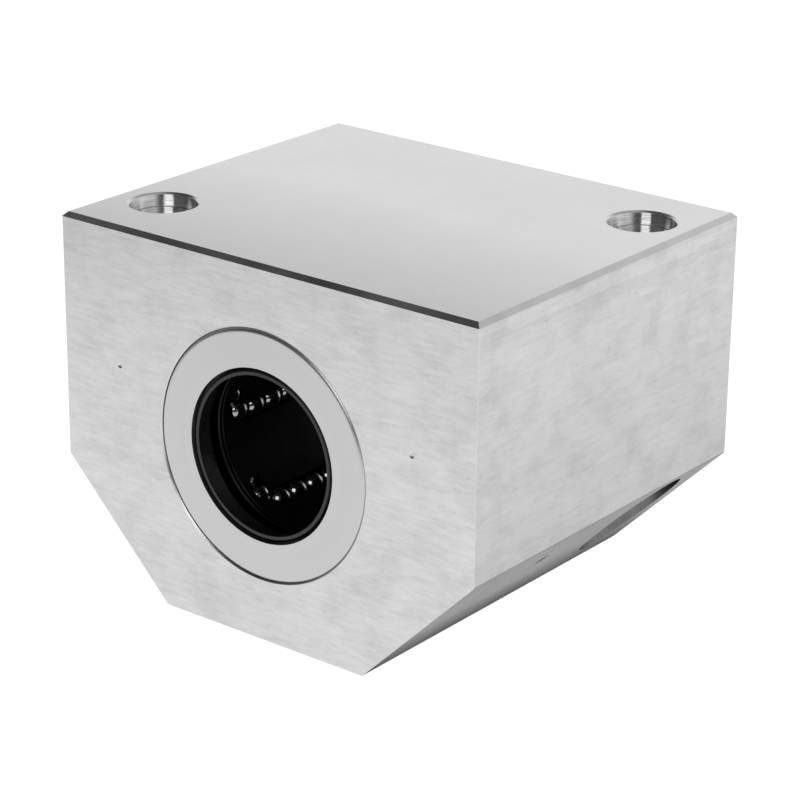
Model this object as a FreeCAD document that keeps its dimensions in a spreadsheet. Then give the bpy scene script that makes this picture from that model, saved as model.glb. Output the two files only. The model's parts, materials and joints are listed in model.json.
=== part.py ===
"""Linear bearing block for a 30 mm shaft: an aluminium housing with a recirculating ball bushing inside.

Frame: X across the block, Y along the shaft, Z up. The origin is the middle of the narrow bottom face.
The wide mounting face is on top. All lengths are in millimetres.
"""
import FreeCAD, Part
import itertools
import math
import os
import Sketcher

DOC = FreeCAD.newDocument("linear_bearing_block")
SHEET = DOC.addObject("Spreadsheet::Sheet", "Sizes")

SIZES = {
    # The block, a bar with its two lower corners cut away at 45 degrees.
    "block_width": 90.0,
    "block_height": 68.0,
    "axis_height": 34.0,
    "flank_cut": 23.0,
    "top_chamfer": 0.85,
    "mouth_chamfer": 0.2,
    # The two diagonal bolt holes: dowel seat on top, clearance hole, room for the screw head below.
    "hole_edge_x": 10.0,
    "hole_edge_y": 15.0,
    "hole_radius": 5.5,
    "dowel_radius": 6.0,
    "dowel_depth": 2.5,
    "rim_chamfer": 0.35,
    "head_radius": 8.75,
    "head_sink": 3.25,
    # The small blind hole in the right flank and the two punch marks on the front face.
    "flank_hole_radius": 1.4,
    "flank_hole_depth": 5.0,
    "flank_hole_drop": 6.7,
    "flank_hole_offset": 9.1,
    "drill_point_depth": 0.8,
    "mark_edge": 12.9,
    "mark_rise": 8.7,
    "mark_radius": 0.55,
    "mark_depth": 0.35,
    # The ball bushing: shaft, balls, and the two rows of each circuit.
    "shaft_radius": 15.0,
    "ball_radius": 2.25,
    "ball_play": 0.01,
    "return_rise": 1.08,
    "relief_clearance": 0.12,
    "circuit_count": 6,
    "circuit_phase": 30.0,
    "row_start": 1.4,
    "row_stagger": 2.9,
    # The hardened outer sleeve.
    "bearing_length": 64.0,
    "sleeve_wall": 1.8,
    "sleeve_fit": 0.01,
    "sleeve_chamfer": 0.5,
    "land_half_width": 2.2,
    "land_setback": 1.5,
    "clip_groove_spacing": 44.5,
    "clip_groove_width": 1.85,
    "clip_groove_depth": 1.0,
    # The moulded cage that guides the balls.
    "cage_gap": 0.7,
    "cage_clearance": 0.2,
    "cage_end_wall": 0.7,
    "track_clearance": 0.1,
    # Side rings and snap rings that shut the bushing at its ends.
    "side_ring_width": 1.0,
    "side_ring_gap": 0.6,
    "ring_chamfer": 0.2,
    "stack_play": 0.05,
    "snap_inset": 0.55,
    "snap_width": 0.9,
    "snap_groove_depth": 0.6,
    "snap_reach": 2.3,
    "snap_play": 0.1,
    "snap_sweep": 332.0,
    # The metal-cased wiper seals, flush with the end faces.
    "seal_depth": 5.5,
    "case_face": 1.6,
    "case_wall": 2.0,
    "case_gap": 0.6,
    "case_bend": 0.8,
    "lip_recess": 0.3,
    "lip_squeeze": 0.8,
    "lip_land": 0.6,
    "lip_edge": 0.4,
    "lip_slope": 0.9,
    "guide_gap": 0.3,
    "groove_slit": 0.15,
    "rubber_setback": 0.6,
    "rubber_chamfer": 0.5,
}

for row, (alias, number) in enumerate(SIZES.items(), start=1):
    SHEET.set(f"A{row}", alias)
    SHEET.set(f"B{row}", str(number))
    SHEET.setAlias(f"B{row}", alias)
DOC.recompute()


class Size:
    """A length with its present number and the formula that ties it to the sheet."""

    def __init__(self, number, formula):
        self.number = number
        self.formula = formula

    def __add__(self, other):
        other = as_size(other)
        return Size(self.number + other.number, f"({self.formula} + {other.formula})")

    def __sub__(self, other):
        other = as_size(other)
        return Size(self.number - other.number, f"({self.formula} - {other.formula})")

    def __mul__(self, other):
        other = as_size(other)
        return Size(self.number * other.number, f"({self.formula} * {other.formula})")

    def __truediv__(self, other):
        other = as_size(other)
        return Size(self.number / other.number, f"({self.formula} / {other.formula})")

    def __neg__(self):
        return Size(-self.number, f"(0 - {self.formula})")


def as_size(value):
    return value if isinstance(value, Size) else Size(value, repr(value))


def size(alias):
    return Size(float(SHEET.get(alias)), f"Sizes.{alias}")


def root(value):
    return Size(math.sqrt(value.number), f"sqrt({value.formula})")


ORIGIN = as_size(0)

# Radii of the bushing, from the shaft outwards.
shaft_radius = size("shaft_radius")
ball_radius = size("ball_radius")
load_radius = shaft_radius + ball_radius
land_radius = load_radius + ball_radius + size("ball_play")
return_radius = load_radius + size("return_rise")
relief_radius = return_radius + ball_radius + size("relief_clearance")
sleeve_radius = relief_radius + size("sleeve_wall")
bore_radius = sleeve_radius + size("sleeve_fit")

# Each circuit lies in a plane that touches the load circle: one straight row on each side of its turns.
row_spacing = root(return_radius * return_radius - load_radius * load_radius)
turn_radius = row_spacing / 2
track_half = ball_radius + size("track_clearance")

# Stations along the shaft, measured from the middle of the block.
half_bearing = size("bearing_length") / 2
half_depth = half_bearing + size("seal_depth")
half_width = size("block_width") / 2
block_height = size("block_height")
snap_outer = half_bearing - size("snap_inset")
snap_inner = snap_outer - size("snap_width") - size("stack_play")
side_outer = snap_inner
side_inner = side_outer - size("side_ring_width")
cage_end = side_inner - size("stack_play")
half_run = cage_end - size("cage_end_wall") - track_half - turn_radius


def hold(sketch, geometry, point, x, y):
    """Holds a point of a sketch at its two distances from the sketch's origin."""
    for kind, axis, distance in (("DistanceX", -2, x), ("DistanceY", -1, y)):
        if distance.number == 0:
            sketch.addConstraint(Sketcher.Constraint("PointOnObject", geometry, point, axis))
            continue
        rule = Sketcher.Constraint(kind, -1, 1, geometry, point, distance.number)
        sketch.setExpression(f"Constraints[{sketch.addConstraint(rule)}]", distance.formula)


def new_body(name):
    """A body on the bearing's axis, with its own origin there."""
    body = DOC.addObject("PartDesign::Body", name)
    body.Label = name
    body.Placement.Base.z = size("axis_height").number
    body.setExpression(".Placement.Base.z", "Sizes.axis_height")
    return body


def turn_about(body, axis, angle):
    """Turns a whole body about one of the axes through its origin."""
    body.Placement = FreeCAD.Placement(body.Placement.Base, FreeCAD.Rotation(axis, angle))
    body.setExpression(".Placement.Base.z", "Sizes.axis_height")


def origin_feature(body, role):
    return next(feature for feature in body.Origin.OriginFeatures if feature.Role == role)


def new_sketch(body, name, plane, offset=ORIGIN):
    """A sketch on one of the body's origin planes, moved along the plane's normal."""
    sketch = body.newObject("Sketcher::SketchObject", name)
    sketch.AttachmentSupport = [(origin_feature(body, plane), "")]
    sketch.MapMode = "FlatFace"
    sketch.AttachmentOffset.Base.z = offset.number
    sketch.setExpression(".AttachmentOffset.Base.z", offset.formula)
    return sketch


def draw_outline(sketch, corners):
    """Draws a closed outline of straight lines through corners given as pairs of sizes."""
    points = [FreeCAD.Vector(x.number, y.number, 0) for x, y in corners]
    first = sketch.GeometryCount
    for start, end in zip(points, points[1:] + points[:1]):
        sketch.addGeometry(Part.LineSegment(start, end), False)
    for index, (x, y) in enumerate(corners):
        line = first + index
        following = first + (index + 1) % len(corners)
        sketch.addConstraint(Sketcher.Constraint("Coincident", line, 2, following, 1))
        hold(sketch, line, 1, x, y)


def draw_circle(sketch, x, y, radius):
    centre = FreeCAD.Vector(x.number, y.number, 0)
    circle = sketch.addGeometry(Part.Circle(centre, FreeCAD.Vector(0, 0, 1), radius.number), False)
    hold(sketch, circle, 3, x, y)
    rule = sketch.addConstraint(Sketcher.Constraint("Radius", circle, radius.number))
    sketch.setExpression(f"Constraints[{rule}]", radius.formula)


def draw_axis(sketch, start, end):
    """Draws a construction line, the first of which is the sketch's Axis0."""
    points = [FreeCAD.Vector(x.number, y.number, 0) for x, y in (start, end)]
    line = sketch.addGeometry(Part.LineSegment(*points), True)
    hold(sketch, line, 1, *start)
    hold(sketch, line, 2, *end)


def extrude(body, kind, name, sketch, length):
    """Pads or pockets a sketch by the same amount on both sides of its plane."""
    feature = body.newObject(f"PartDesign::{kind}", name)
    feature.Profile = sketch
    feature.SideType = "Symmetric"
    feature.Length = length.number
    feature.setExpression("Length", length.formula)
    body.Tip = feature
    return feature


def revolve(body, kind, name, sketch, axis, angle=as_size(360), backwards=False):
    """Revolves a sketch about its own vertical axis or about a construction line in it."""
    feature = body.newObject(f"PartDesign::{kind}", name)
    feature.Profile = sketch
    feature.ReferenceAxis = (sketch, [axis])
    feature.Reversed = backwards
    feature.Angle = angle.number
    feature.setExpression("Angle", angle.formula)
    body.Tip = feature
    return feature


def repeat_round(body, name, features, axis, count):
    """Repeats features evenly round one of the body's axes."""
    pattern = body.newObject("PartDesign::PolarPattern", name)
    pattern.Originals = features
    pattern.Axis = (origin_feature(body, axis), [""])
    pattern.Angle = 360
    pattern.Occurrences = int(count.number)
    pattern.setExpression("Occurrences", count.formula)
    body.Tip = pattern
    return pattern


def dress_edges(body, kind, name, length, wanted):
    """Chamfers or fillets those edges of the body's present shape that the test picks."""
    measure = {"Chamfer": "Size", "Fillet": "Radius"}[kind]
    base = body.Tip
    DOC.recompute()
    edges = [f"Edge{number}" for number, edge in enumerate(base.Shape.Edges, start=1) if wanted(edge)]
    feature = body.newObject(f"PartDesign::{kind}", name)
    feature.Base = (base, edges)
    setattr(feature, measure, length.number)
    feature.setExpression(measure, length.formula)
    body.Tip = feature
    return feature


def build_housing():
    """The block, machined from bar. Its body stands on the bottom face, not on the bearing's axis."""
    body = DOC.addObject("PartDesign::Body", "housing")
    body.Label = "housing"
    flank_cut = size("flank_cut")
    foot = half_width - flank_cut
    section = new_sketch(body, "block_section", "XZ_Plane")
    draw_outline(section, [
        (-half_width, block_height),
        (-half_width, flank_cut),
        (-foot, ORIGIN),
        (foot, ORIGIN),
        (half_width, flank_cut),
        (half_width, block_height),
    ])
    extrude(body, "Pad", "block", section, half_depth * 2)
    dress_edges(body, "Chamfer", "top_edges", size("top_chamfer"),
                lambda edge: edge.BoundBox.ZMin > block_height.number - 0.001)

    bore = new_sketch(body, "bore_circle", "XZ_Plane")
    draw_circle(bore, ORIGIN, size("axis_height"), bore_radius)
    extrude(body, "Pocket", "bore", bore, half_depth * 2)
    dress_edges(body, "Chamfer", "bore_mouths", size("mouth_chamfer"),
                lambda edge: edge.Curve.TypeId == "Part::GeomCircle" and edge.Closed)

    cut_bolt_holes(body, flank_cut)
    cut_flank_hole(body, flank_cut)
    punch_front_marks(body)
    return body


def cut_bolt_holes(body, flank_cut):
    """Two through holes on a diagonal, each one revolved section from the top face to the flank."""
    hole_x = -half_width + size("hole_edge_x")
    hole_y = half_depth - size("hole_edge_y")
    rim_depth = size("rim_chamfer")
    dowel_radius = size("dowel_radius")
    hole_radius = size("hole_radius")
    head_radius = size("head_radius")
    dowel_floor = block_height - size("dowel_depth")
    head_seat = flank_cut - size("hole_edge_x") + head_radius + size("head_sink")
    section = new_sketch(body, "bolt_hole_section", "XZ_Plane", hole_y)
    draw_axis(section, (hole_x, ORIGIN), (hole_x, block_height))
    draw_outline(section, [
        (hole_x, block_height),
        (hole_x + dowel_radius + rim_depth, block_height),
        (hole_x + dowel_radius, block_height - rim_depth),
        (hole_x + dowel_radius, dowel_floor),
        (hole_x + hole_radius, dowel_floor),
        (hole_x + hole_radius, head_seat),
        (hole_x + head_radius, head_seat),
        (hole_x + head_radius, ORIGIN),
        (hole_x, ORIGIN),
    ])
    hole = revolve(body, "Groove", "front_left_hole", section, "Axis0")
    repeat_round(body, "diagonal_holes", [hole], "Z_Axis", as_size(2))


def cut_flank_hole(body, flank_cut):
    """A small blind drilled hole, square to the right flank, with the cone of its drill point."""
    drop = size("flank_hole_drop")
    radius = size("flank_hole_radius")
    depth = size("flank_hole_depth")
    section = body.newObject("Sketcher::SketchObject", "flank_hole_section")
    section.AttachmentSupport = [(origin_feature(body, "XZ_Plane"), "")]
    section.MapMode = "FlatFace"
    place = (("x", half_width - drop), ("y", flank_cut - drop), ("z", size("flank_hole_offset")))
    base = FreeCAD.Vector(*[distance.number for _, distance in place])
    tilt = FreeCAD.Rotation(FreeCAD.Vector(0, 0, 1), 45)
    section.AttachmentOffset = FreeCAD.Placement(base, tilt)
    for letter, distance in place:
        section.setExpression(f".AttachmentOffset.Base.{letter}", distance.formula)
    draw_axis(section, (ORIGIN, ORIGIN), (ORIGIN, depth))
    draw_outline(section, [
        (ORIGIN, -radius),
        (radius, -radius),
        (radius, depth),
        (ORIGIN, depth + size("drill_point_depth")),
    ])
    revolve(body, "Groove", "flank_hole", section, "Axis0")


def punch_front_marks(body):
    """Two shallow cone-shaped punch marks on the front face, one each side of the bore."""
    mark_x = half_width - size("mark_edge")
    mark_z = size("axis_height") + size("mark_rise")
    radius = size("mark_radius")
    section = new_sketch(body, "punch_mark_section", "XY_Plane", mark_z)
    draw_axis(section, (mark_x, -half_depth), (mark_x, ORIGIN))
    draw_outline(section, [
        (mark_x, -half_depth),
        (mark_x + radius, -half_depth),
        (mark_x, size("mark_depth") - half_depth),
    ])
    mark = revolve(body, "Groove", "right_punch_mark", section, "Axis0")
    mirrored = body.newObject("PartDesign::Mirrored", "punch_marks")
    mirrored.Originals = [mark]
    mirrored.MirrorPlane = (origin_feature(body, "YZ_Plane"), [""])
    body.Tip = mirrored


def build_sleeve():
    """The hardened outer sleeve: six load lands inside, two grooves for outer clips."""
    body = new_body("outer_sleeve")
    groove_outer = size("clip_groove_spacing") / 2
    groove_inner = groove_outer - size("clip_groove_width")
    groove_radius = sleeve_radius - size("clip_groove_depth")
    edge = size("sleeve_chamfer")
    snap_groove = relief_radius + size("snap_groove_depth")
    rear_half = [
        (relief_radius, snap_inner),
        (snap_groove, snap_inner),
        (snap_groove, snap_outer),
        (relief_radius, snap_outer),
        (relief_radius, half_bearing),
        (sleeve_radius - edge, half_bearing),
        (sleeve_radius, half_bearing - edge),
        (sleeve_radius, groove_outer),
        (groove_radius, groove_outer),
        (groove_radius, groove_inner),
        (sleeve_radius, groove_inner),
    ]
    front_half = [(radius, -station) for radius, station in reversed(rear_half)]
    section = new_sketch(body, "sleeve_section", "XY_Plane")
    draw_outline(section, rear_half + front_half)
    revolve(body, "Revolution", "sleeve", section, "V_Axis")

    # A land is a straight rib with sloping ends, so that a ball takes up its load little by little.
    land_end = half_run - size("land_setback")
    land_root = relief_radius + size("sleeve_wall") / 2
    root_end = land_end + (land_root - land_radius)
    side_view = new_sketch(body, "land_side_view", "YZ_Plane")
    draw_outline(side_view, [
        (-land_end, land_radius),
        (land_end, land_radius),
        (root_end, land_root),
        (-root_end, land_root),
    ])
    land = extrude(body, "Pad", "land", side_view, size("land_half_width") * 2)
    repeat_round(body, "lands", [land], "Y_Axis", size("circuit_count"))
    turn_about(body, FreeCAD.Vector(0, 1, 0), size("circuit_phase").number)
    return body


def track_outline(centre_x):
    """The section of a ball track about the ball's centre: half an octagon, open outwards."""
    flat = track_half * math.tan(math.radians(22.5))
    above = load_radius + track_half * 2
    return [
        (centre_x - track_half, above),
        (centre_x - track_half, load_radius - flat),
        (centre_x - flat, load_radius - track_half),
        (centre_x + flat, load_radius - track_half),
        (centre_x + track_half, load_radius - flat),
        (centre_x + track_half, above),
    ]


def build_cage():
    """The moulded cage. The load row of each track breaks through to the shaft, the return row does not."""
    body = new_body("ball_cage")
    inner = shaft_radius + size("cage_gap")
    outer = land_radius - size("cage_clearance")
    edge = size("ring_chamfer")
    blank = new_sketch(body, "cage_section", "XY_Plane")
    draw_outline(blank, [
        (inner + edge, -cage_end),
        (outer, -cage_end),
        (outer, cage_end),
        (inner + edge, cage_end),
        (inner, cage_end - edge),
        (inner, edge - cage_end),
    ])
    revolve(body, "Revolution", "cage", blank, "V_Axis")

    legs = new_sketch(body, "leg_sections", "XZ_Plane")
    draw_outline(legs, track_outline(ORIGIN))
    draw_outline(legs, track_outline(row_spacing))
    straight = extrude(body, "Pocket", "legs", legs, half_run * 2)
    cuts = [straight]
    for name, offset, backwards in (("front_turn", half_run, False), ("rear_turn", -half_run, True)):
        turn = new_sketch(body, f"{name}_section", "XZ_Plane", offset)
        draw_axis(turn, (turn_radius, ORIGIN), (turn_radius, load_radius))
        draw_outline(turn, track_outline(ORIGIN))
        cuts.append(revolve(body, "Groove", name, turn, "Axis0", as_size(180), backwards))
    repeat_round(body, "tracks", cuts, "Y_Axis", size("circuit_count"))
    turn_about(body, FreeCAD.Vector(0, 1, 0), size("circuit_phase").number)
    return body


def build_ring(name, section, rear):
    """A turned ring from its section at the front end; a rear ring is the same piece turned round."""
    body = new_body(name)
    sketch = new_sketch(body, f"{name}_section", "XY_Plane")
    draw_outline(sketch, section)
    revolve(body, "Revolution", f"{name}_turned", sketch, "V_Axis")
    if rear:
        turn_about(body, FreeCAD.Vector(0, 0, 1), 180)
    return body


def side_ring_section():
    """The steel ring that closes the cage's end."""
    inner = shaft_radius + size("side_ring_gap")
    outer = relief_radius - size("snap_play")
    edge = size("ring_chamfer")
    return [
        (inner + edge, -side_outer),
        (outer, -side_outer),
        (outer, -side_inner),
        (inner + edge, -side_inner),
        (inner, -side_inner - edge),
        (inner, edge - side_outer),
    ]


def build_snap_ring(name, rear):
    """The open spring ring that sits in the sleeve's inner groove and holds the side ring."""
    body = new_body(name)
    outer = relief_radius + size("snap_groove_depth") - size("snap_play")
    inner = outer - size("snap_reach")
    sketch = new_sketch(body, f"{name}_section", "XY_Plane")
    draw_outline(sketch, [
        (inner, -snap_outer),
        (outer, -snap_outer),
        (outer, size("snap_width") - snap_outer),
        (inner, size("snap_width") - snap_outer),
    ])
    revolve(body, "Revolution", f"{name}_bent", sketch, "V_Axis", size("snap_sweep"))
    if rear:
        turn_about(body, FreeCAD.Vector(0, 0, 1), 180)
    return body


def case_section():
    """The metal case of a wiper seal: a flat face flush with the block and a rim pressed into the bore."""
    mouth = shaft_radius + size("case_gap")
    rim = bore_radius - size("case_wall")
    return [
        (mouth, -half_depth),
        (bore_radius, -half_depth),
        (bore_radius, -half_bearing),
        (rim, -half_bearing),
        (rim, size("case_face") - half_depth),
        (mouth, size("case_face") - half_depth),
    ]


def build_case(name, rear):
    """A turned case with its outer front corner rounded, as it is where sheet metal is drawn over a die."""
    def front_corner(edge):
        circle = edge.Curve
        return circle.TypeId == "Part::GeomCircle" and circle.Radius > bore_radius.number - 0.001 \
            and circle.Center.y < 0.001 - half_depth.number

    body = build_ring(name, case_section(), rear)
    dress_edges(body, "Fillet", f"{name}_bend", size("case_bend"), front_corner)
    return body


def seal_section():
    """The rubber of a wiper seal: bonded behind the case's face, with its lip standing in the mouth."""
    mouth = shaft_radius + size("case_gap")
    rim = bore_radius - size("case_wall")
    lip = shaft_radius - size("lip_squeeze")
    guide = shaft_radius + size("guide_gap")
    lip_front = size("lip_recess") - half_depth
    lip_back = lip_front + size("lip_edge")
    face_back = size("case_face") - half_depth
    rear = -half_bearing - size("rubber_setback")
    chamfer_width = size("rubber_chamfer")
    return [
        (lip, lip_front),
        (lip + size("lip_land"), lip_front),
        (mouth - size("groove_slit"), face_back),
        (rim, face_back),
        (rim, rear),
        (guide + chamfer_width, rear),
        (guide, rear - chamfer_width),
        (guide, lip_back + size("lip_slope")),
        (lip, lip_back),
    ]


def ball_shape():
    """One ball, drawn as the icosahedron that fits inside it to keep the model light."""
    golden = (1 + math.sqrt(5)) / 2
    scale = ball_radius.number / math.hypot(1, golden)
    corners = []
    for a in (-1, 1):
        for b in (-golden, golden):
            corners += [(0, a, b), (a, b, 0), (b, 0, a)]
    corners = [FreeCAD.Vector(*corner) * scale for corner in corners]
    edge = 2 * scale
    faces = []
    for a, b, c in itertools.combinations(corners, 3):
        if max((a - b).Length, (b - c).Length, (c - a).Length) < edge * 1.01:
            faces.append(Part.Face(Part.makePolygon([a, b, c, a])))
    return Part.Solid(Part.Shell(faces))


def ball_centre(travel):
    """The centre of a ball that has gone this far round its circuit, from the rear end of the load row."""
    run = half_run.number * 2
    radius = turn_radius.number
    turn = math.pi * radius
    half = run + turn
    back = travel >= half
    along = travel - half if back else travel
    if along < run:
        x, y = 0.0, half_run.number - along
    else:
        angle = (along - run) / radius
        x, y = radius - radius * math.cos(angle), -half_run.number - radius * math.sin(angle)
    if back:
        x, y = row_spacing.number - x, -y
    return FreeCAD.Vector(x, y, load_radius.number)


def build_ball_circuits():
    """Six closed trains of loose balls, each at its own stage of the round."""
    loop = 4 * half_run.number + 2 * math.pi * turn_radius.number
    balls_in_circuit = int(loop / (2 * ball_radius.number))
    pitch = loop / balls_in_circuit
    circuits = int(size("circuit_count").number)
    axis_place = FreeCAD.Vector(0, 0, size("axis_height").number)
    ball = ball_shape()
    trains = []
    for circuit in range(circuits):
        first = (size("row_start").number + circuit * size("row_stagger").number) % pitch
        centres = [ball_centre(first + pitch * number) for number in range(balls_in_circuit)]
        train = DOC.addObject("Part::Feature", f"ball_circuit_{circuit + 1}")
        train.Label = f"ball_circuit_{circuit + 1}"
        train.Shape = Part.makeCompound([ball.translated(centre) for centre in centres])
        angle = size("circuit_phase").number - 360 / circuits * circuit
        train.Placement = FreeCAD.Placement(axis_place, FreeCAD.Rotation(FreeCAD.Vector(0, 1, 0), angle))
        trains.append(train)
    print(f"{circuits} circuits of {balls_in_circuit} balls, {pitch:.3f} mm apart")
    return trains


def main():
    nodes = [build_housing(), build_sleeve(), build_cage()]
    for end, rear in (("front", False), ("rear", True)):
        nodes.append(build_case(f"{end}_seal_case", rear))
        nodes.append(build_ring(f"{end}_seal_lip", seal_section(), rear))
        nodes.append(build_ring(f"{end}_side_ring", side_ring_section(), rear))
        nodes.append(build_snap_ring(f"{end}_snap_ring", rear))
    nodes += build_ball_circuits()
    DOC.recompute()

    for item in DOC.Objects:
        if {"Invalid", "Error"} & set(item.State):
            raise RuntimeError(f"{item.Name} did not build")
    os.makedirs("parts", exist_ok=True)
    for node in nodes:
        if node.Shape.isNull() or not node.Shape.isValid():
            raise RuntimeError(f"{node.Label} has no valid shape")
        node.Shape.exportStep(f"parts/{node.Label}.step")
        print(f"{node.Label}: {len(node.Shape.Solids)} solids, {node.Shape.Volume:.1f} mm3")


main()
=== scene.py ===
# %% [markdown]
# # Dressing a linear bearing block
#
# The real object is a machined aluminium block with a ball bushing pressed into its bore. The CAD model
# has already settled every piece and every size. This lesson gives those pieces their finish: milled
# metal, turned seal cases, black rubber, polished balls. Then it sets them in a plain studio.
#
# The first step is always the same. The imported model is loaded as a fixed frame, and everything that is
# made later goes where that frame says, in metres, with +Z up and the front end towards -Y.

# %% Load the frame
import json
import math

import bmesh
import bpy
from mathutils import Matrix, Vector


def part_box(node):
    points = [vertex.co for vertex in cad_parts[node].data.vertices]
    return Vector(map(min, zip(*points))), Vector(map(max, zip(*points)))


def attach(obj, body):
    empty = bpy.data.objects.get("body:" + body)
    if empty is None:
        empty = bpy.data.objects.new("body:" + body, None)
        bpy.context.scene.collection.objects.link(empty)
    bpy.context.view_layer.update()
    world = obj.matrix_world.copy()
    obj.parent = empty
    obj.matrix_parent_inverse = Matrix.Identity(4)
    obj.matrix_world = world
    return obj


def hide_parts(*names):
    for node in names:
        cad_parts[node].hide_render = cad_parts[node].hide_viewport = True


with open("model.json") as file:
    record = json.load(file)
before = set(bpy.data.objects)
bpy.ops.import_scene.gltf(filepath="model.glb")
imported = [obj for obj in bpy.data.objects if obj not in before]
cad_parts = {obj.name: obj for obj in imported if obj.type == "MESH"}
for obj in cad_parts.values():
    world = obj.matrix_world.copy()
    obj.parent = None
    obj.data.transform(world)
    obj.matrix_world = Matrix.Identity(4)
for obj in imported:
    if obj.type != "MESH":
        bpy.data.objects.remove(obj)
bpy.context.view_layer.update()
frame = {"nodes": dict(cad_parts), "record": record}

mm = 0.001

# %% [markdown]
# ## Read the driving sizes
#
# A maker starts from a few sizes that everything else hangs on. Here they are read from the frame: the
# block's three outside sizes, the axis of the bore, and the radius and length of the bushing's sleeve.
# The few sizes that a box can't tell, such as the width of a chamfer, are named once, beside the piece
# that needs them.

# %% Measure the block, the bore and the bushing
block_low, block_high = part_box("housing")
sleeve_low, sleeve_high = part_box("outer_sleeve")

half_width = block_high.x
front = block_low.y
block_length = -2 * front
top = block_high.z
axis_height = (sleeve_low.z + sleeve_high.z) / 2
sleeve_fit = 0.01 * mm
bore_radius = (sleeve_high.x - sleeve_low.x) / 2 + sleeve_fit
bearing_end = sleeve_low.y
mounts = {mount["name"]: mount for mount in frame["record"]["mounts"]}
lip_radius = mounts["shaft_bore"]["dims"]["r_mm"] * mm
lip_squeeze = 0.8 * mm
shaft_radius = lip_radius + lip_squeeze
print(f"block {2 * half_width / mm:.0f} mm wide, {block_length / mm:.0f} mm long, {top / mm:.0f} mm high")
print(f"bore radius {bore_radius / mm:.2f} mm, axis {axis_height / mm:.1f} mm high")

# %% [markdown]
# ## Small helpers
#
# Every new piece ends the same way: its bmesh becomes an object, flat faces stay crisp while curved walls
# shade smooth, it rides on the part's only body, and it says which CAD nodes it stands for. Three small
# helpers do all of that, so the cells that follow only talk about shape.

# %% Turn a bmesh into a finished piece
CRISP_ANGLE = math.radians(15)


def as_object(name, shape):
    """An object at the origin from a bmesh, smooth except across sharp edges."""
    mesh = bpy.data.meshes.new(name)
    shape.to_mesh(mesh)
    shape.free()
    piece = bpy.data.objects.new(name, mesh)
    bpy.context.scene.collection.objects.link(piece)
    shade(mesh)
    return piece


def shade(mesh):
    """Smooth faces, with every edge sharper than the crisp angle kept sharp."""
    mesh.polygons.foreach_set("use_smooth", [True] * len(mesh.polygons))
    mesh.set_sharp_from_angle(angle=CRISP_ANGLE)


def seat(piece, slot, *nodes):
    """The piece joins the part in place of these CAD nodes."""
    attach(piece, "root")
    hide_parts(*nodes)
    print(f"{piece.name}: {len(piece.data.polygons)} faces, for {', '.join(nodes)}")


# %% [markdown]
# ## Turned pieces
#
# Seal cases and rubber lips are turned or moulded round one axis. The natural way to make them is the
# lathe's way: draw half a section, break its corners where they need it, and spin it. A closed section
# spun through a full turn gives a closed ring with no poles. The number of steps is set so that no flat
# on the rim can be seen.

# %% A lathe for sections
TURN_STEPS = 180


def turned(name, section, corner=0.0, rear=False):
    """Spins a closed section of (radius, station) pairs about the bore's axis."""
    shape = bmesh.new()
    outline = [shape.verts.new((radius, station, 0)) for radius, station in section]
    face = shape.faces.new(outline)
    if corner:
        bmesh.ops.bevel(shape, geom=list(shape.verts), offset=corner, offset_type="OFFSET", segments=2,
                        profile=0.5, affect="VERTICES", material=-1)
        face = shape.faces[:][0]
    bmesh.ops.delete(shape, geom=[face], context="FACES_ONLY")
    rim = shape.verts[:] + shape.edges[:]
    bmesh.ops.spin(shape, geom=rim, cent=(0, 0, 0), axis=(0, 1, 0), dvec=(0, 0, 0), angle=math.tau,
                   steps=TURN_STEPS, use_merge=True, use_duplicate=False)
    if rear:
        bmesh.ops.rotate(shape, verts=shape.verts, cent=(0, 0, 0), matrix=Matrix.Rotation(math.pi, 3, "Z"))
    bmesh.ops.translate(shape, verts=shape.verts, vec=(0, 0, axis_height))
    bmesh.ops.recalc_face_normals(shape, faces=shape.faces)
    return as_object(name, shape)


# %% [markdown]
# ## The block
#
# The block is sawn from bar and milled, so it is a straight prism: its section is drawn once and extruded
# along the shaft. The wide top has a chamfer all round that is clearly wider than the rest. Every other
# outside edge only has the thin break that a file or a deburring tool leaves, and that thin break is what
# catches the light. Bevel is used for both, because it keeps the flat faces flat.

# %% Extrude the section and chamfer the top
flank_cut = 23.0 * mm
top_chamfer = 0.85 * mm
edge_break = 0.14 * mm


def block_blank():
    """The block before any hole is cut: a prism with its edges dressed."""
    shape = bmesh.new()
    foot = half_width - flank_cut
    just_below_top = top - 0.1 * mm
    corners = [(-half_width, top), (-half_width, flank_cut), (-foot, 0), (foot, 0), (half_width, flank_cut),
               (half_width, top)]
    section = shape.faces.new([shape.verts.new((x, front, z)) for x, z in corners])
    prism = bmesh.ops.extrude_face_region(shape, geom=[section])
    far_end = [part for part in prism["geom"] if isinstance(part, bmesh.types.BMVert)]
    bmesh.ops.translate(shape, verts=far_end, vec=(0, block_length, 0))
    bmesh.ops.recalc_face_normals(shape, faces=shape.faces)
    rim = [edge for edge in shape.edges if min(vert.co.z for vert in edge.verts) > just_below_top]
    bmesh.ops.bevel(shape, geom=rim, offset=top_chamfer, offset_type="OFFSET", segments=1, profile=0.5,
                    affect="EDGES", material=-1)
    lower = [edge for edge in shape.edges if min(vert.co.z for vert in edge.verts) < top - 2 * top_chamfer]
    bmesh.ops.bevel(shape, geom=lower, offset=edge_break, offset_type="OFFSET", segments=1, profile=0.5,
                    affect="EDGES", material=-1)
    return as_object("machined_block", shape)


block = block_blank()
print(f"blank: {len(block.data.polygons)} faces")

# %% [markdown]
# ## Holes as tools
#
# A machinist cuts with tools that turn, so each hole is the shape of its tool: a section spun about the
# tool's own axis, and taken away from the block. One stepped section makes a whole bolt hole, from the
# dowel seat on top to the room for the screw head below.

# %% Shape the cutting tools
clearance = 1.0 * mm


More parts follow.
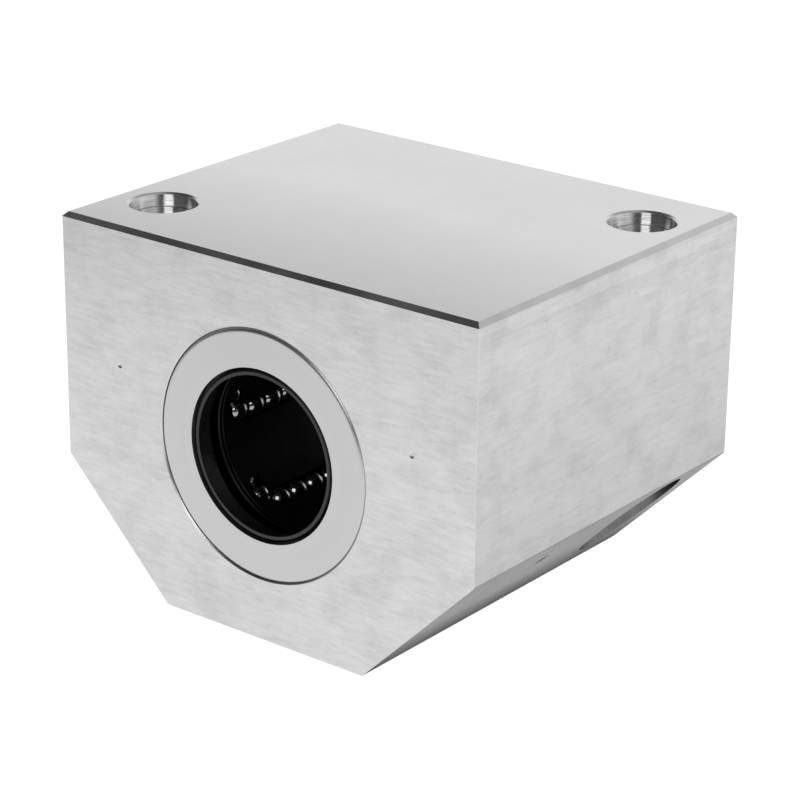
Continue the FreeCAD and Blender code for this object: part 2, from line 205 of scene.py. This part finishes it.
def cutter(name, section, place, direction, steps=96):
    """A closed tool: (radius, reach) pairs spun about the line from place along direction."""
    shape = bmesh.new()
    outline = [shape.verts.new((radius, 0, reach)) for radius, reach in section]
    edges = [shape.edges.new(pair) for pair in zip(outline, outline[1:])]
    bmesh.ops.spin(shape, geom=outline + edges, cent=(0, 0, 0), axis=(0, 0, 1), dvec=(0, 0, 0),
                   angle=math.tau, steps=steps, use_merge=True, use_duplicate=False)
    bmesh.ops.remove_doubles(shape, verts=shape.verts, dist=0.001 * mm)
    turn = Vector(direction).to_track_quat("Z", "Y").to_matrix()
    bmesh.ops.rotate(shape, verts=shape.verts, cent=(0, 0, 0), matrix=turn)
    bmesh.ops.translate(shape, verts=shape.verts, vec=place)
    bmesh.ops.recalc_face_normals(shape, faces=shape.faces)
    return as_object(name, shape)


# %% [markdown]
# The bore runs right through, with a small chamfer at each mouth. Its tool is a long bar with a cone at
# each end.

# %% The bore's tool
mouth_chamfer = 0.2 * mm
bore_tool = cutter("bore_tool", [
    (0, -clearance),
    (bore_radius + mouth_chamfer, -clearance),
    (bore_radius + mouth_chamfer, 0),
    (bore_radius, mouth_chamfer),
    (bore_radius, block_length - mouth_chamfer),
    (bore_radius + mouth_chamfer, block_length),
    (bore_radius + mouth_chamfer, block_length + clearance),
    (0, block_length + clearance),
], (0, front, axis_height), (0, 1, 0), steps=TURN_STEPS)
print(f"{bore_tool.name}: {2 * bore_radius / mm:.1f} mm across")

# %% [markdown]
# The bolt holes lie on one diagonal. Each starts as a shallow seat for a hollow dowel, narrows to the
# clearance hole of an M10 screw, and ends in a wide pocket that opens on the bevelled flank, where the
# screw head goes.

# %% The bolt holes' tools
hole_x = half_width - 10.0 * mm
hole_y = -front - 15.0 * mm
hole_radius = mounts["bolt_holes"]["dims"]["hole_r_mm"] * mm
dowel_radius = hole_radius + 0.5 * mm
dowel_depth = 2.5 * mm
rim_chamfer = 0.35 * mm
head_radius = 8.75 * mm
head_seat = top - 25.0 * mm
bolt_section = [
    (0, -clearance),
    (dowel_radius + rim_chamfer, -clearance),
    (dowel_radius + rim_chamfer, 0),
    (dowel_radius, rim_chamfer),
    (dowel_radius, dowel_depth),
    (hole_radius, dowel_depth),
    (hole_radius, head_seat),
    (head_radius, head_seat),
    (head_radius, top + clearance),
    (0, top + clearance),
]
sides = (("left", -1), ("right", 1))
bolt_tools = [cutter(f"bolt_tool_{side}", bolt_section, (sign * hole_x, sign * hole_y, top), (0, 0, -1))
              for side, sign in sides]
print(f"bolt holes {2 * hole_x / mm:.0f} mm apart across the shaft, {2 * hole_y / mm:.0f} mm along it")

# %% [markdown]
# Three more small cuts make the block this block: a blind hole drilled square into the right flank, and
# on the front end a punch mark each side of the bore.

# %% The small tools
flank_drop = 6.7 * mm
flank_place = (half_width - flank_drop, -9.1 * mm, flank_cut - flank_drop)
flank_hole_radius = 1.4 * mm
flank_hole_depth = 5.0 * mm
drill_point = 0.8 * mm
flank_hole = [
    (0, -clearance),
    (flank_hole_radius, -clearance),
    (flank_hole_radius, flank_hole_depth),
    (0, flank_hole_depth + drill_point),
]
flank_tool = cutter("flank_tool", flank_hole, flank_place, (-1, 0, 1), steps=48)

mark_radius = 0.55 * mm
mark_depth = 0.35 * mm
mark_x = half_width - 12.9 * mm
mark_height = axis_height + 8.7 * mm
mark_section = [(0, -mark_depth), (2 * mark_radius, -mark_depth), (0, mark_depth)]
mark_tools = [cutter(f"mark_tool_{side}", mark_section, (sign * mark_x, front, mark_height), (0, 1, 0),
                     steps=24)
              for side, sign in sides]
hole_tools = [bore_tool, *bolt_tools, flank_tool, *mark_tools]
print(f"{len(hole_tools)} tools are ready")

# %% [markdown]
# The Boolean modifier takes the tools away from the block. It is applied at once, so that the finished
# piece is plain mesh and nothing depends on the tools, which can then be thrown away.

# %% Cut the holes


def cut(piece, tools):
    """Takes the tools away from the piece and throws them away."""
    for tool in tools:
        modifier = piece.modifiers.new(tool.name, "BOOLEAN")
        modifier.operation = "DIFFERENCE"
        modifier.solver = "EXACT"
        modifier.object = tool
    graph = bpy.context.evaluated_depsgraph_get()
    finished = bpy.data.meshes.new_from_object(piece.evaluated_get(graph))
    piece.modifiers.clear()
    piece.data = finished
    shade(finished)
    for tool in tools:
        bpy.data.objects.remove(tool)


cut(block, hole_tools)
seat(block, "block", "housing")

# %% [markdown]
# ## Seal cases and lips
#
# At each end a flat metal case sits flush with the block. It is drawn from sheet, so its outer corner is
# a wide bend, not a chamfer. At the top of the ring that bend mirrors the table, then the dark room, then
# the wall of the bore, which is why it shows a dark crescent. The case is turned from its true section,
# with the bend drawn as an arc. A narrow strip of flat is kept beside the bend, so that the bend's
# shading doesn't run across the face.

# %% Turn the cases
case_mouth = shaft_radius + 0.6 * mm
case_rim = bore_radius - 2.0 * mm
case_face = front + 1.6 * mm
case_bend = 0.8 * mm
flat_strip = 0.05 * mm
bend_steps = 8
bend = []
for step in range(bend_steps + 1):
    angle = math.pi / 2 * step / bend_steps
    bend.append((bore_radius - case_bend + case_bend * math.sin(angle),
                 front + case_bend - case_bend * math.cos(angle)))
case_section = [
    (case_mouth, front),
    (bore_radius - case_bend - flat_strip, front),
    *bend,
    (bore_radius, bearing_end),
    (case_rim, bearing_end),
    (case_rim, case_face),
    (case_mouth, case_face),
]
cases = []
for end in ("front", "rear"):
    case = turned(f"{end}_turned_case", case_section, rear=end == "rear")
    seat(case, "seal_case", f"{end}_seal_case")
    cases.append(case)

# %% [markdown]
# A black rubber lip is bonded behind each case. It has a narrow flat land that looks straight out of the
# bore, then a groove, and its inner wall leads back to the balls. A mould leaves no sharp corners on
# rubber, so the corners of this section are rounded before it is spun.

# %% Mould the lips
lip_front = front + 0.3 * mm
lip_land = 0.6 * mm
lip_edge = 0.4 * mm
lip_slope = 0.9 * mm
lip_corner = 0.04 * mm
groove_slit = 0.15 * mm
guide_radius = shaft_radius + 0.3 * mm
rubber_back = bearing_end - 0.6 * mm
rubber_chamfer = 0.5 * mm
lip_section = [
    (lip_radius, lip_front),
    (lip_radius + lip_land, lip_front),
    (case_mouth - groove_slit, case_face),
    (case_rim, case_face),
    (case_rim, rubber_back),
    (guide_radius + rubber_chamfer, rubber_back),
    (guide_radius, rubber_back - rubber_chamfer),
    (guide_radius, lip_front + lip_edge + lip_slope),
    (lip_radius, lip_front + lip_edge),
]
lips = []
for end in ("front", "rear"):
    lip = turned(f"{end}_moulded_lip", lip_section, corner=lip_corner, rear=end == "rear")
    seat(lip, "seal_rubber", f"{end}_seal_lip")
    lips.append(lip)

# %% [markdown]
# ## The balls
#
# The CAD model draws each ball as an icosahedron, to stay light. Its centre is the mean of its corners,
# so the scene finds the centres there and puts a round ball on each one. An icosphere with 320 faces is
# round enough for a 4.5 mm ball, and keeps 150 of them small.

# %% Put a round ball at each centre
ball_radius = 2.25 * mm
ball_subdivisions = 3


def ball_centres(node):
    """The middle of each loose solid in a CAD node, taken from a merged copy of its mesh."""
    copy = bmesh.new()
    copy.from_mesh(node.data)
    bmesh.ops.remove_doubles(copy, verts=copy.verts, dist=0.001 * mm)
    waiting = set(copy.verts)
    centres = []
    while waiting:
        group = {waiting.pop()}
        edge_of_group = set(group)
        while edge_of_group:
            found = {edge.other_vert(vert) for vert in edge_of_group for edge in vert.link_edges} - group
            group |= found
            edge_of_group = found
        waiting -= group
        centres.append(sum((vert.co for vert in group), Vector()) / len(group))
    copy.free()
    return sorted(centres, key=lambda centre: tuple(round(value, 6) for value in centre))


ball_trains = []
circuits = sorted(name for name in frame["nodes"] if name.startswith("ball_circuit_"))
for name in circuits:
    train = bmesh.new()
    for centre in ball_centres(frame["nodes"][name]):
        bmesh.ops.create_icosphere(train, subdivisions=ball_subdivisions, radius=ball_radius,
                                   matrix=Matrix.Translation(centre))
    piece = as_object(name.replace("ball_circuit", "ball_train"), train)
    seat(piece, "balls", name)
    ball_trains.append(piece)

# %% [markdown]
# ## Materials
#
# Metal is mostly what it reflects, so its own colour only varies a little. What tells milled aluminium
# from chrome is the grain: fine scratches that all run one way, cloudy patches where the cutter rubbed,
# and a gloss that changes from place to place. Each of these is a noise, and a Mapping node stretches the
# scratches along the grain. All patterns read Object coordinates, which are metres in the part's own
# frame.

# %% Start a material, and give it a noise


def new_material(name, metallic, level, roughness):
    """A grey material with its shader ready, its nodes and a shortcut for links."""
    material = bpy.data.materials.new(name)
    material.use_nodes = True
    nodes = material.node_tree.nodes
    shader = nodes["Principled BSDF"]
    shader.inputs["Metallic"].default_value = metallic
    shader.inputs["Base Color"].default_value = (level, level, level, 1)
    shader.inputs["Roughness"].default_value = roughness
    print(f"{name}: level {level:.3f}, roughness {roughness:.2f}")
    return material, nodes, shader, material.node_tree.links.new


def noise(nodes, link, stretch, detail=4.0, rough=0.55, centre=(0, 0, 0)):
    """Noise on Object coordinates. Stretch gives how many grains fit in a metre along X, Y and Z."""
    coordinates = nodes.new("ShaderNodeTexCoord")
    mapping = nodes.new("ShaderNodeMapping")
    mapping.inputs["Location"].default_value = centre
    mapping.inputs["Scale"].default_value = stretch
    pattern = nodes.new("ShaderNodeTexNoise")
    pattern.inputs["Scale"].default_value = 1.0
    pattern.inputs["Detail"].default_value = detail
    pattern.inputs["Roughness"].default_value = rough
    link(coordinates.outputs["Object"], mapping.inputs["Vector"])
    link(mapping.outputs["Vector"], pattern.inputs["Vector"])
    return pattern.outputs["Fac"]


# %% [markdown]
# A noise is rarely used as it comes. Most of its values lie near the middle, so spread stretches that
# middle onto the range that a colour or a gloss needs. Fade does the same with a place along an axis,
# which makes a slow change across a face. The other three are shortcuts for arithmetic, greys and bumps.

# %% Shape a noise into a value


def spread(nodes, link, value, low, high, start=0.3, stop=0.7):
    """Maps a pattern's middle range onto the range from low to high."""
    ranger = nodes.new("ShaderNodeMapRange")
    ranger.inputs["From Min"].default_value = start
    ranger.inputs["From Max"].default_value = stop
    ranger.inputs["To Min"].default_value = low
    ranger.inputs["To Max"].default_value = high
    link(value, ranger.inputs["Value"])
    return ranger.outputs["Result"]


def fade(nodes, link, axis, start, stop, low, high):
    """A slow change of brightness from one place to another along an axis."""
    coordinates = nodes.new("ShaderNodeTexCoord")
    split = nodes.new("ShaderNodeSeparateXYZ")
    link(coordinates.outputs["Object"], split.inputs["Vector"])
    return spread(nodes, link, split.outputs[axis], low, high, start, stop)


def maths(nodes, link, operation, first, second=0.0):
    """One step of arithmetic. Each side of it is a number or another node's value."""
    node = nodes.new("ShaderNodeMath")
    node.operation = operation
    for socket, value in zip(node.inputs, (first, second)):
        if isinstance(value, (int, float)):
            socket.default_value = value
        else:
            link(value, socket)
    return node.outputs["Value"]


def grey(nodes, link, value):
    """A grey of that brightness."""
    colour = nodes.new("ShaderNodeCombineColor")
    for socket in colour.inputs:
        link(value, socket)
    return colour.outputs["Color"]


def emboss(nodes, link, shader, height, depth):
    """Bump of a depth in metres."""
    bump = nodes.new("ShaderNodeBump")
    bump.inputs["Distance"].default_value = depth
    bump.inputs["Strength"].default_value = 1.0
    link(height, bump.inputs["Height"])
    link(bump.outputs["Normal"], shader.inputs["Normal"])


# %% [markdown]
# The block's faces were milled in different directions, and each saw its own wear. One function makes the
# metal from four layers: clouds, smudges, scratches that run along the grain, and short ticks in the
# scratches. Its arguments say how the grain lies and how bright and uneven the face is. A tone is painted
# shade that darkens a face and what it mirrors towards one edge. Rub adds the long scuffs that handling
# leaves beside a corner.

# %% Milled aluminium


def milled(name, grain, level, gloss=0.34, tone=None, smudge=0.02, edge=1.0, rub=None, wear=1.0):
    """Brushed metal. Edge dims what it mirrors at a grazing angle, wear says how uneven it is, and tone
    paints shade.
    """
    material, nodes, shader, link = new_material(name, 1.0, level, gloss)
    shader.inputs["Specular Tint"].default_value = (edge, edge, edge, 1)
    clouds = noise(nodes, link, (70, 70, 70), detail=4.0)
    marks = noise(nodes, link, (130, 130, 130), detail=6.0, rough=0.6, centre=(3.1, 1.7, 0.4))
    lines = noise(nodes, link, grain, detail=5.0, rough=0.7)
    ticks = noise(nodes, link, [share * 2.2 for share in grain], detail=2.0, centre=(0.7, 0.2, 1.3))
    value = spread(nodes, link, clouds, level - 0.02 * wear, level + 0.02 * wear)
    # Each layer: its noise, how far it darkens and brightens, and the range of the noise that counts.
    layers = [
        (marks, -smudge, smudge * 0.4, 0.38, 0.52),
        (lines, -0.025 * wear, 0.025 * wear, 0.3, 0.7),
        (ticks, -0.03 * wear, 0.01 * wear, 0.25, 0.42),
    ]
    for layer in layers:
        value = maths(nodes, link, "ADD", value, spread(nodes, link, *layer))
    if rub:
        streaks = noise(nodes, link, (400, 9, 450), detail=3.0)
        scuffs = spread(nodes, link, streaks, -0.06, 0.03, 0.35, 0.6)
        near_edge = fade(nodes, link, *rub)
        value = maths(nodes, link, "ADD", value, maths(nodes, link, "MULTIPLY", scuffs, near_edge))
    # The tone darkens both the colour and the mirrored light towards one edge: painted shade.
    if tone:
        painted_shade = fade(nodes, link, *tone)
        value = maths(nodes, link, "MULTIPLY", value, painted_shade)
        link(grey(nodes, link, maths(nodes, link, "MULTIPLY", painted_shade, edge)), shader.inputs["Specular Tint"])
    link(grey(nodes, link, value), shader.inputs["Base Color"])
    gloss_swing = 0.05 * min(wear, 1.0) ** 2
    link(spread(nodes, link, clouds, gloss - gloss_swing, gloss + gloss_swing), shader.inputs["Roughness"])
    emboss(nodes, link, shader, lines, 0.0015 * mm)
    return material


# %% [markdown]
# Each group of faces now gets its own copy. How bright each copy is paints in the light and shade that its
# faces get: the top lightest, the ends and sides darker, and the top, sides and flanks each fade towards one
# edge. The flanks and the screw-head pockets mirror the white table below them, which would make them as
# bright as the upright sides, so their metal is painted much darker than that of the faces above them, as
# painted shade.

# %% The block's milled finishes
end_metal = milled("milled_ends", (220, 900, 1300), level=0.61, smudge=0.03, wear=2.2)
# Top: the lightest, and darker towards the front end, which is painted light and shade.
top_metal = milled("milled_top", (200, 900, 900), level=0.72, smudge=0.006, wear=0.6,
                   tone=("Y", front, -0.1 * front, 0.84, 1.0))
# Sides: darker than the ends, and darker towards the flanks, which is painted shade.
side_metal = milled("milled_sides", (900, 160, 1100), level=0.555, smudge=0.035, wear=1.6,
                    tone=("Z", flank_cut, top - 8 * mm, 0.88, 1.0),
                    rub=("Z", top - 9 * mm, top - 3 * mm, 0, 1))
# Flanks and pockets: painted dark, with the flanks darker towards the floor and dim reflections, all painted
# shade.
flank_metal = milled("milled_flanks", (900, 160, 900), level=0.30, edge=0.58,
                     tone=("Z", 0, flank_cut / 2, 0.36, 1.0))
pocket_metal = milled("pocket_walls", (600, 600, 600), level=0.16, edge=0.20)
edge_metal = milled("broken_edges", (300, 1800, 300), level=0.62, gloss=0.30, smudge=0.03)

# %% [markdown]
# A reamer leaves fine rings in a bolt hole. They spread a reflection up and down but not sideways, so the
# wall shows upright bands of light and dark. A bump can't be that strict, so here the surface direction
# itself is tipped along Z, by a noise that only changes with height.

# %% Reamed bolt holes
reamed, ream_nodes, ream_shader, ream_link = new_material("reamed_holes", 1.0, 0.70, 0.14)
rings_per_metre = 40000
rings = noise(ream_nodes, ream_link, (0, 0, rings_per_metre), detail=1.0)
wear = noise(ream_nodes, ream_link, (300, 300, 900), detail=3.0)
ream_link(spread(ream_nodes, ream_link, wear, 0.10, 0.18), ream_shader.inputs["Roughness"])
ream_link(grey(ream_nodes, ream_link, spread(ream_nodes, ream_link, wear, 0.52, 0.66)),
          ream_shader.inputs["Base Color"])
surface = ream_nodes.new("ShaderNodeNewGeometry")
tip = ream_nodes.new("ShaderNodeCombineXYZ")
ream_link(spread(ream_nodes, ream_link, rings, -0.15, 0.85), tip.inputs["Z"])
tipped = ream_nodes.new("ShaderNodeVectorMath")
tipped.operation = "ADD"
ream_link(surface.outputs["Normal"], tipped.inputs[0])
ream_link(tip.outputs["Vector"], tipped.inputs[1])
facet = ream_nodes.new("ShaderNodeVectorMath")
facet.operation = "NORMALIZE"
ream_link(tipped.outputs["Vector"], facet.inputs[0])
ream_link(facet.outputs["Vector"], ream_shader.inputs["Normal"])

# %% [markdown]
# Which finish a face gets follows from where it lies and which way it looks. The bolt holes are told
# apart first, by their distance from a bolt's axis, then the flat faces. What is left is most of the
# bore, which the bushing and its seals all but hide, and then the small flank hole, the punch marks, the
# chamfers and the broken edges. A face is square on to an axis when nearly all of its normal lies along
# it, and edge on when hardly any does.

# %% Give each face of the block its finish
block_finishes = [end_metal, top_metal, side_metal, flank_metal, edge_metal, reamed, pocket_metal]
for material in block_finishes:
    block.data.materials.append(material)
SQUARE_ON = 0.99
SLANTED = 0.7
STEEP = 0.5
EDGE_ON = 0.01


def finish_of(face):
    """The finish of one face of the block."""
    x, y, z = (abs(value) for value in face.normal)
    place = face.center
    off_axis = min(math.hypot(place.x - sign * hole_x, place.y - sign * hole_y) for sign in (-1, 1))
    seat_height = top - head_seat
    if z < EDGE_ON and off_axis < dowel_radius + rim_chamfer and place.z > seat_height:
        return reamed
    if z < STEEP and off_axis < head_radius and place.z < seat_height + mm:
        return pocket_metal
    if y > SQUARE_ON:
        return end_metal
    if z > SQUARE_ON:
        return top_metal
    if x > SQUARE_ON and abs(place.x) > half_width - mm:
        return side_metal
    in_flank = abs(place.x) > half_width - flank_cut - mm and place.z < flank_cut + mm
    if in_flank and y < EDGE_ON and x > SLANTED:
        return flank_metal
    return edge_metal


for face in block.data.polygons:
    face.material_index = block_finishes.index(finish_of(face))
for number, material in enumerate(block_finishes):
    print(f"{material.name}: {sum(face.material_index == number for face in block.data.polygons)} faces")

# %% [markdown]
# The other metals share the same recipe with other numbers. A turned ring has grain that runs round it,
# which noise on plain coordinates can't follow, so its lines come from the distance to the bore's axis.

# %% Turned and ground steel


def turned_metal(name, level, gloss, pitch=9000, depth=0.003 * mm, edge=1.0):
    """Metal with fine rings about the bore's axis. Edge dims what it mirrors at a grazing angle."""
    material, nodes, shader, link = new_material(name, 1.0, level, gloss)
    shader.inputs["Specular Tint"].default_value = (edge, edge, edge, 1)
    coordinates = nodes.new("ShaderNodeTexCoord")
    split = nodes.new("ShaderNodeSeparateXYZ")
    link(coordinates.outputs["Object"], split.inputs["Vector"])
    height = maths(nodes, link, "SUBTRACT", split.outputs["Z"], axis_height)
    across = maths(nodes, link, "POWER", split.outputs["X"], 2.0)
    up = maths(nodes, link, "POWER", height, 2.0)
    radius = maths(nodes, link, "SQRT", maths(nodes, link, "ADD", across, up))
    place = nodes.new("ShaderNodeCombineXYZ")
    link(radius, place.inputs["X"])
    link(split.outputs["Y"], place.inputs["Y"])
    lathe = nodes.new("ShaderNodeTexNoise")
    lathe.inputs["Scale"].default_value = pitch
    lathe.inputs["Detail"].default_value = 3.0
    link(place.outputs["Vector"], lathe.inputs["Vector"])
    clouds = noise(nodes, link, (90, 90, 90), detail=3.0)
    cloudy = spread(nodes, link, clouds, level * 0.96, level * 1.04)
    lined = spread(nodes, link, lathe.outputs["Fac"], -0.02 * level, 0.02 * level)
    link(grey(nodes, link, maths(nodes, link, "ADD", cloudy, lined)), shader.inputs["Base Color"])
    link(spread(nodes, link, clouds, gloss - 0.05, gloss + 0.05), shader.inputs["Roughness"])
    emboss(nodes, link, shader, lathe.outputs["Fac"], depth)
    return material


case_metal = turned_metal("turned_case", 0.57, 0.34, pitch=2500, depth=0.001 * mm)
sleeve_metal = turned_metal("ground_sleeve", 0.52, 0.18)
# The side rings are painted near black, and dim what they mirror, which paints in the shade deep in the
# bore.
dark_ring_metal = turned_metal("rings_painted_dark", 0.02, 0.40, edge=0.1)
spring_metal = turned_metal("spring_steel", 0.30, 0.35)

# %% [markdown]
# The rubber lips and the moulded cage are both black, and what sets them apart is how they shine. Rubber
# keeps a soft gloss, while the cage, deep in the bore, shines only faintly. Fine pores keep both from
# looking like paint. The balls are polished, so they get next to no pattern, only a slight haze.

# %% Black rubber, black cage and polished balls


def black(name, level, gloss, grain, depth, shine=0.5):
    """A black plastic or rubber. Grain is how many pores fit in a metre, and depth is how deep they are."""
    material, nodes, shader, link = new_material(name, 0.0, level, gloss)
    shader.inputs["Specular IOR Level"].default_value = shine
    clouds = noise(nodes, link, (400, 400, 400), detail=3.0)
    pores = noise(nodes, link, (grain,) * 3, detail=4.0)
    tone = spread(nodes, link, clouds, level * 0.7, level * 1.4)
    link(grey(nodes, link, tone), shader.inputs["Base Color"])
    link(spread(nodes, link, clouds, gloss - 0.05, gloss + 0.08), shader.inputs["Roughness"])
    emboss(nodes, link, shader, pores, depth)
    return material


rubber = black("black_rubber", 0.006, 0.30, 6000, 0.003 * mm)
cage_plastic = black("cage_plastic", 0.002, 0.34, 3000, 0.002 * mm, shine=0.12)

# The balls' colour is kept far darker than bare steel, which paints in the shade of the bore around them.
ball_steel, ball_nodes, ball_shader, ball_link = new_material("polished_balls", 1.0, 0.35, 0.06)
haze = noise(ball_nodes, ball_link, (900, 900, 900), detail=2.0)
ball_link(spread(ball_nodes, ball_link, haze, 0.03, 0.10), ball_shader.inputs["Roughness"])
ball_link(grey(ball_nodes, ball_link, spread(ball_nodes, ball_link, haze, 0.32, 0.38)),
          ball_shader.inputs["Base Color"])
emboss(ball_nodes, ball_link, ball_shader, haze, 0.001 * mm)

# %% [markdown]
# The block already has its finishes. Every other new piece takes one material. The sleeve, the cage and
# the rings keep their CAD meshes, which already carry a material slot, so only what the slot holds is
# changed.

# %% Hand out the finishes


def finish(piece, material):
    """Gives the piece this material and no other."""
    piece.data.materials.clear()
    piece.data.materials.append(material)


for case in cases:
    finish(case, case_metal)
for lip in lips:
    finish(lip, rubber)
for train in ball_trains:
    finish(train, ball_steel)

cad_finishes = {"outer_sleeve": sleeve_metal, "ball_cage": cage_plastic}
for end in ("front", "rear"):
    cad_finishes[f"{end}_side_ring"] = dark_ring_metal
    cad_finishes[f"{end}_snap_ring"] = spring_metal
for name, material in cad_finishes.items():
    for holder in frame["nodes"][name].material_slots:
        holder.material = material
print(f"{len(cad_finishes)} CAD nodes kept, {len(bpy.data.materials)} materials in all")

# %% [markdown]
# ## The studio
#
# Bright metal needs something bright to reflect. The block stands on a light table, so its upright walls
# mirror a white floor and it throws almost no shadow. The table's light fades out in front of the block
# and to its left, which is where the bend of the seal case begins to look.

# %% Floor
floor_half = 4.0
floor_mesh = bpy.data.meshes.new("studio_floor")
floor_shape = bmesh.new()
bmesh.ops.create_grid(floor_shape, x_segments=1, y_segments=1, size=floor_half)
floor_shape.to_mesh(floor_mesh)
floor_shape.free()
floor = bpy.data.objects.new("studio_floor", floor_mesh)
bpy.context.scene.collection.objects.link(floor)
floor_paint, floor_nodes, floor_shader, floor_link = new_material("floor_paint", 0.0, 0.12, 0.6)
floor_shader.inputs["Specular IOR Level"].default_value = 0.0
floor_shader.inputs["Emission Color"].default_value = (1, 1, 1, 1)
dark_way = (-0.6, -0.8, 0)
light_ends = 0.24
dark_begins = 0.50
far_glow = 0.15
floor_place = floor_nodes.new("ShaderNodeTexCoord")
floor_reach = floor_nodes.new("ShaderNodeVectorMath")
floor_reach.operation = "DOT_PRODUCT"
floor_reach.inputs[1].default_value = dark_way
floor_link(floor_place.outputs["Object"], floor_reach.inputs[0])
floor_glow = spread(floor_nodes, floor_link, floor_reach.outputs["Value"], 1.0, far_glow,
                    light_ends, dark_begins)
floor_link(floor_glow, floor_shader.inputs["Emission Strength"])
finish(floor, floor_paint)
print(f"the table's light fades from {light_ends} m to {dark_begins} m")

# %% [markdown]
# The room behind the block and to its right is bright, which the top and the right chamfer mirror. The
# room in front of it and to its left is dark, which the front chamfer mirrors. A world has no place to
# stand in, only directions, so both the turn from dark to bright and the dimming towards the ceiling are
# read from the direction in which a ray leaves.

# %% Room
world = bpy.data.worlds.new("studio_sky")
world.use_nodes = True
bpy.context.scene.world = world
sky_nodes = world.node_tree.nodes
sky_link = world.node_tree.links.new
bright_side = Vector((0.2, 0.98, 0)).normalized()
dark_wall = 0.07
bright_wall = 1.0
dark_at = -0.40
bright_at = 0.0
low_wall = 1.08
ceiling = 0.50
dims_from = 0.38
dims_to = 0.62
direction = sky_nodes.new("ShaderNodeTexCoord")
sky_split = sky_nodes.new("ShaderNodeSeparateXYZ")
sky_link(direction.outputs["Generated"], sky_split.inputs["Vector"])
facing = sky_nodes.new("ShaderNodeVectorMath")
facing.operation = "DOT_PRODUCT"
facing.inputs[1].default_value = bright_side
sky_link(direction.outputs["Generated"], facing.inputs[0])
room = spread(sky_nodes, sky_link, facing.outputs["Value"], dark_wall, bright_wall, dark_at, bright_at)
room.node.interpolation_type = "SMOOTHSTEP"
dimming = spread(sky_nodes, sky_link, sky_split.outputs["Z"], low_wall, ceiling, dims_from, dims_to)
glow = maths(sky_nodes, sky_link, "MULTIPLY", room, dimming)
sky_link(grey(sky_nodes, sky_link, glow), sky_nodes["Background"].inputs["Color"])
sky_nodes["Background"].inputs["Strength"].default_value = 1.0
print(f"the room is bright towards {[round(value, 2) for value in bright_side]}")

# %% [markdown]
# Two lamps finish the room. A wide one overhead lights whatever is matt. A softbox stands behind the
# camera, to its left and above it: it puts the white band in the bolt holes and the bright dots on the
# balls.

# %% Lamps


def lamp(name, place, aim, size, power):
    """A square lamp that looks at a point."""
    light = bpy.data.lights.new(name, "AREA")
    light.size = size
    light.energy = power
    thing = bpy.data.objects.new(name, light)
    thing.location = place
    thing.rotation_euler = (Vector(place) - Vector(aim)).to_track_quat("Z", "Y").to_euler()
    bpy.context.scene.collection.objects.link(thing)
    return thing


middle = Vector((0, 0, top / 2))
overhead = lamp("overhead", (0.1, 0.1, 1.2), middle, size=1.6, power=6.0)
overhead.visible_glossy = False
softbox_way = Vector((0.318, -0.786, 0.530))
softbox_distance = 0.9
lamp("softbox", middle + softbox_way * softbox_distance, middle, size=0.45, power=1.3)
print(f"{len(bpy.data.lights)} lamps")

# %% [markdown]
# ## The camera
#
# A long lens from half a metre keeps the perspective mild. The camera looks from the right front, about
# 21 degrees above the floor, with its own rotation built from three directions: right, up and back.

# %% Place the camera
azimuth = math.radians(38.06)
elevation = math.radians(21.27)
roll = math.radians(0.63)
distance = 0.5005
back = Vector((math.sin(azimuth) * math.cos(elevation), -math.cos(azimuth) * math.cos(elevation),
               math.sin(elevation)))
level_right = Vector((math.cos(azimuth), math.sin(azimuth), 0))
level_up = back.cross(level_right)
right = level_right * math.cos(roll) + level_up * math.sin(roll)
up = level_up * math.cos(roll) - level_right * math.sin(roll)
shift_right = 0.16 * mm
shift_down = 0.905 * mm
aim = middle + right * shift_right - up * shift_down

lens = bpy.data.cameras.new("camera")
lens.sensor_width = 36.0
lens.lens = 126.9
lens.clip_start = 0.01
camera = bpy.data.objects.new("camera", lens)
turn = Matrix((right, up, back)).transposed().to_4x4()
camera.matrix_world = Matrix.Translation(aim + back * distance) @ turn
bpy.context.scene.collection.objects.link(camera)
bpy.context.scene.camera = camera
bpy.context.scene.view_settings.view_transform = "Standard"
print(f"camera at {[round(value, 3) for value in camera.location]}")
